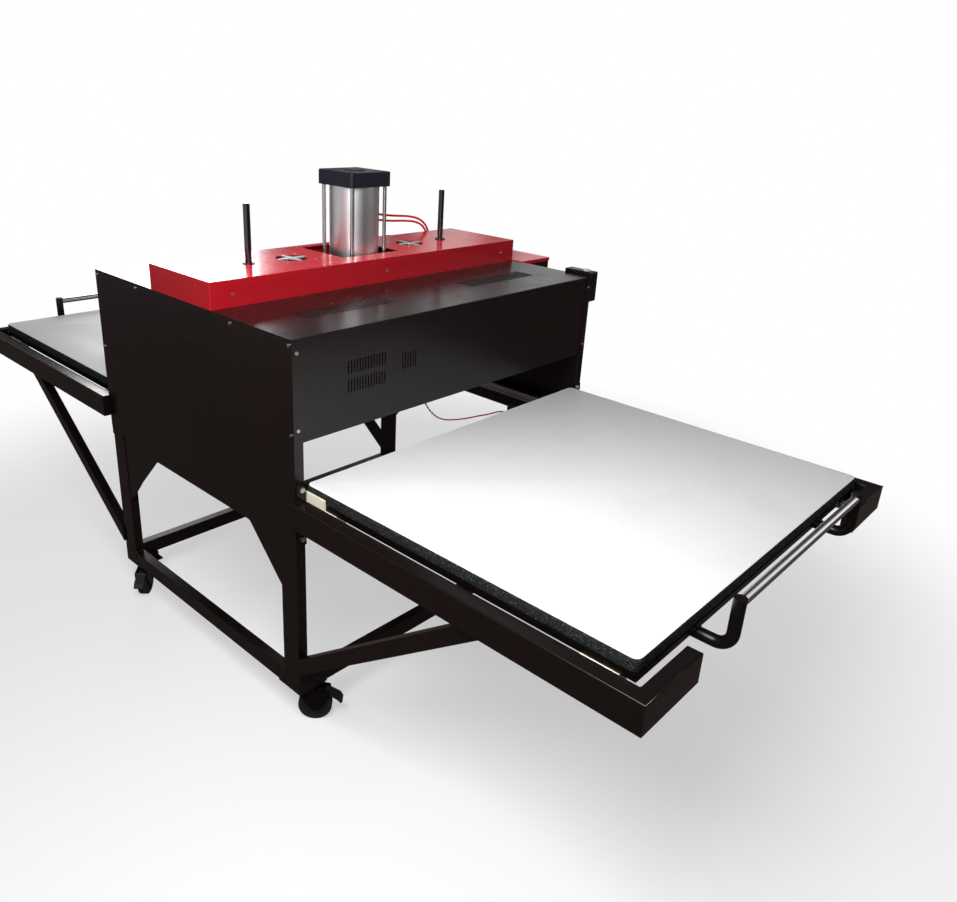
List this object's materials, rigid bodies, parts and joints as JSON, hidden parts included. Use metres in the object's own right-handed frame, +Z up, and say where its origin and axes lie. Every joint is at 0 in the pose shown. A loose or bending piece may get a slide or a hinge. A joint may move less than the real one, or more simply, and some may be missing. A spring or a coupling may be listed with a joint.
{
  "type": "dual tray heat press",
  "caption": "Air-powered heat press on casters: a raised heated platen under a dark sheet-metal head, and two sliding work trays that run in from the front and the rear.",
  "frame": {"origin": "on the floor, under the middle of the whole object's box; the press head's middle plane is at X = -0.0662 m because the control cabinet stands out on the right", "axes": "+X to the right seen from the front tray, +Y from the front tray to the rear tray, +Z up"},
  "size_m": [1.4936, 3.176, 1.522],
  "materials": {
    "body_black": "semi-gloss very dark brown-black powder coat",
    "cover_red": "high-gloss red paint",
    "guide_steel": "ground steel, lightly oiled",
    "bush_steel": "blackened steel",
    "rod_chrome": "hard chrome",
    "cap_navy": "anodised, near-black navy",
    "barrel_aluminium": "bright anodised",
    "platen_aluminium": "machined",
    "carrier_grey": "grey primer",
    "screw_steel": "zinc plated",
    "fan_plastic": "moulded black",
    "fitting_brass": "nickelled brass",
    "hose_red": "red polyurethane tube",
    "cable_red": "dark red cable sheath",
    "switch_black": "moulded black",
    "panel_grey": "textured dark grey",
    "button_grey": "light grey",
    "button_red": "red",
    "tray_black": "black powder coat",
    "pad_black": "black speckled foam rubber",
    "sheet_white": "matt white",
    "glide_cream": "cream nylon",
    "caster_black": "black painted pressing",
    "wheel_black": "dark solid tyre",
    "pedal_black": "moulded black"
  },
  "bodies": {
    "frame": {"base_frame": "body_black", "bridge": "body_black", "rail_front_left": "body_black", "rail_front_right": "body_black", "rail_rear_left": "body_black", "rail_rear_right": "body_black", "guide_rails": "guide_steel", "hood": "body_black", "side_cover_left": "body_black", "side_cover_right": "body_black", "red_cover": "cover_red", "fasteners": "screw_steel", "fan_frames": "fan_plastic", "guide_bushes": "bush_steel", "cylinder_base": "cap_navy", "cylinder_barrel": "barrel_aluminium", "cylinder_head": "cap_navy", "tie_rods": "guide_steel", "hose_fittings": "fitting_brass", "air_hose_upper": "hose_red", "air_hose_lower": "hose_red", "sensor_cable": "cable_red", "limit_switch": "switch_black", "control_cabinet": "body_black", "cabinet_lid": "cover_red", "control_panel": "panel_grey", "button_station": "body_black", "caster_plates": "caster_black"},
    "platen": {"heat_platen": "platen_aluminium", "platen_carrier": "carrier_grey", "guide_rods": "rod_chrome", "ram": "rod_chrome"},
    "fan_left": {"fan_rotor_left": "fan_plastic"},
    "fan_right": {"fan_rotor_right": "fan_plastic"},
    "start_button": {"start_button": "button_grey"},
    "stop_button": {"stop_button": "button_red"},
    "tray_front": {"tray_front_plate": "tray_black", "tray_front_pad": "pad_black", "tray_front_sheet": "sheet_white", "tray_front_glides": "glide_cream", "tray_front_brackets": "tray_black", "tray_front_handle": "rod_chrome"},
    "tray_rear": {"tray_rear_plate": "tray_black", "tray_rear_pad": "pad_black", "tray_rear_sheet": "sheet_white", "tray_rear_glides": "glide_cream", "tray_rear_brackets": "tray_black", "tray_rear_handle": "rod_chrome"},
    "caster_front_left_fork": {"caster_front_left_fork": "caster_black"},
    "caster_front_left_wheel": {"caster_front_left_wheel": "wheel_black"},
    "caster_front_left_pedal": {"caster_front_left_pedal": "pedal_black"},
    "caster_front_right_fork": {"caster_front_right_fork": "caster_black"},
    "caster_front_right_wheel": {"caster_front_right_wheel": "wheel_black"},
    "caster_front_right_pedal": {"caster_front_right_pedal": "pedal_black"},
    "caster_rear_left_fork": {"caster_rear_left_fork": "caster_black"},
    "caster_rear_left_wheel": {"caster_rear_left_wheel": "wheel_black"},
    "caster_rear_left_pedal": {"caster_rear_left_pedal": "pedal_black"},
    "caster_rear_right_fork": {"caster_rear_right_fork": "caster_black"},
    "caster_rear_right_wheel": {"caster_rear_right_wheel": "wheel_black"},
    "caster_rear_right_pedal": {"caster_rear_right_pedal": "pedal_black"}
  },
  "joints": [
    {"name": "platen_slide", "type": "slide", "parent": "frame", "child": "platen", "axis": [0, 0, 1], "range_m": [-0.1257, 0]},
    {"name": "tray_front_slide", "type": "slide", "parent": "frame", "child": "tray_front", "axis": [0, 1, 0], "range_m": [0, 1.003]},
    {"name": "tray_rear_slide", "type": "slide", "parent": "frame", "child": "tray_rear", "axis": [0, 1, 0], "range_m": [-1.003, 0]},
    {"name": "start_button_press", "type": "slide", "parent": "frame", "child": "start_button", "axis": [0, 0, -1], "range_m": [0, 0.003], "stiffness_N_per_m": 600},
    {"name": "stop_button_press", "type": "slide", "parent": "frame", "child": "stop_button", "axis": [0, 1, 0], "range_m": [0, 0.004], "stiffness_N_per_m": 900},
    {"name": "fan_left_spin", "type": "hinge", "parent": "frame", "child": "fan_left", "pos_m": [-0.32125, 0, 1.25], "axis": [0, 0, 1], "continuous": true},
    {"name": "fan_right_spin", "type": "hinge", "parent": "frame", "child": "fan_right", "pos_m": [0.18876, 0, 1.25], "axis": [0, 0, 1], "continuous": true},
    {"name": "caster_front_left_swivel", "type": "hinge", "parent": "frame", "child": "caster_front_left_fork", "pos_m": [-0.65624, -0.47, 0.111], "axis": [0, 0, 1], "continuous": true},
    {"name": "caster_front_left_roll", "type": "hinge", "parent": "caster_front_left_fork", "child": "caster_front_left_wheel", "pos_m": [-0.63503, -0.49121, 0.05], "axis": [0.7071, 0.7071, 0], "continuous": true},
    {"name": "caster_front_left_brake", "type": "hinge", "parent": "caster_front_left_fork", "child": "caster_front_left_pedal", "pos_m": [-0.60958, -0.51667, 0.096], "axis": [-0.7071, -0.7071, 0], "range_deg": [0, 25]},
    {"name": "caster_front_right_swivel", "type": "hinge", "parent": "frame", "child": "caster_front_right_fork", "pos_m": [0.52375, -0.47, 0.111], "axis": [0, 0, 1], "continuous": true},
    {"name": "caster_front_right_roll", "type": "hinge", "parent": "caster_front_right_fork", "child": "caster_front_right_wheel", "pos_m": [0.54974, -0.485, 0.05], "axis": [0.5, 0.866, 0], "continuous": true},
    {"name": "caster_front_right_brake", "type": "hinge", "parent": "caster_front_right_fork", "child": "caster_front_right_pedal", "pos_m": [0.58091, -0.503, 0.096], "axis": [-0.5, -0.866, 0], "range_deg": [0, 25]},
    {"name": "caster_rear_left_swivel", "type": "hinge", "parent": "frame", "child": "caster_rear_left_fork", "pos_m": [-0.65624, 0.47, 0.111], "axis": [0, 0, 1], "continuous": true},
    {"name": "caster_rear_left_roll", "type": "hinge", "parent": "caster_rear_left_fork", "child": "caster_rear_left_wheel", "pos_m": [-0.67746, 0.44879, 0.05], "axis": [0.7071, -0.7071, 0], "continuous": true},
    {"name": "caster_rear_left_brake", "type": "hinge", "parent": "caster_rear_left_fork", "child": "caster_rear_left_pedal", "pos_m": [-0.70291, 0.42333, 0.096], "axis": [-0.7071, 0.7071, 0], "range_deg": [0, 25]},
    {"name": "caster_rear_right_swivel", "type": "hinge", "parent": "frame", "child": "caster_rear_right_fork", "pos_m": [0.52375, 0.47, 0.111], "axis": [0, 0, 1], "continuous": true},
    {"name": "caster_rear_right_roll", "type": "hinge", "parent": "caster_rear_right_fork", "child": "caster_rear_right_wheel", "pos_m": [0.53875, 0.49598, 0.05], "axis": [-0.866, 0.5, 0], "continuous": true},
    {"name": "caster_rear_right_brake", "type": "hinge", "parent": "caster_rear_right_fork", "child": "caster_rear_right_pedal", "pos_m": [0.55675, 0.52716, 0.096], "axis": [0.866, -0.5, 0], "range_deg": [0, 25]}
  ]
}
